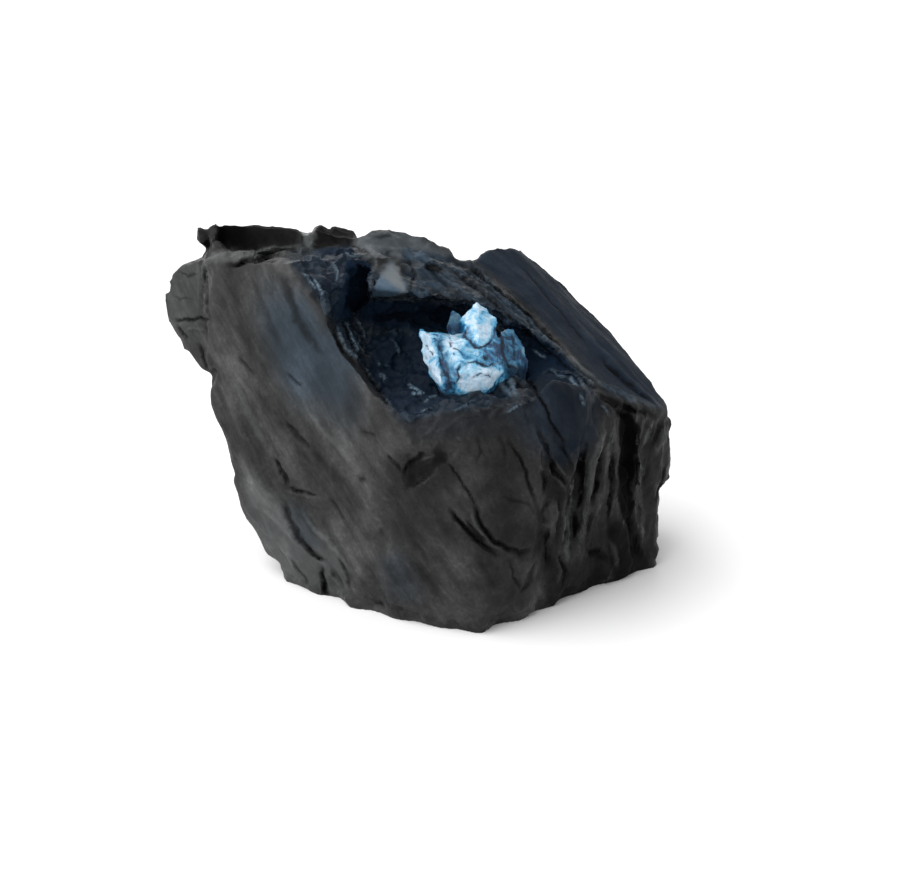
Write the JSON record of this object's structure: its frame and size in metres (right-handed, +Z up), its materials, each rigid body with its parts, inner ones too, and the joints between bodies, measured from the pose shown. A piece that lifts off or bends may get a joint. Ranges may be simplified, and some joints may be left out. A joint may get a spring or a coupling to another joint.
{
  "type": "coal lump",
  "caption": "Large angular lump of house coal with cleaved faces and a broken hollow near its top, in which a pale blue-white crystal has grown.",
  "frame": {"origin": "on the ground plane under the lump, on the flat foot it rests on", "axes": "+X to the lump's right along its length, +Y to its back, +Z up"},
  "size_m": [0.144, 0.0945, 0.0984],
  "materials": {
    "coal": "dull black coal with a slight sheen on its cleaved faces",
    "crystal": "cloudy pale blue-white quartz"
  },
  "bodies": {
    "root": {"lump": "coal", "crystal": "crystal"}
  },
  "joints": []
}
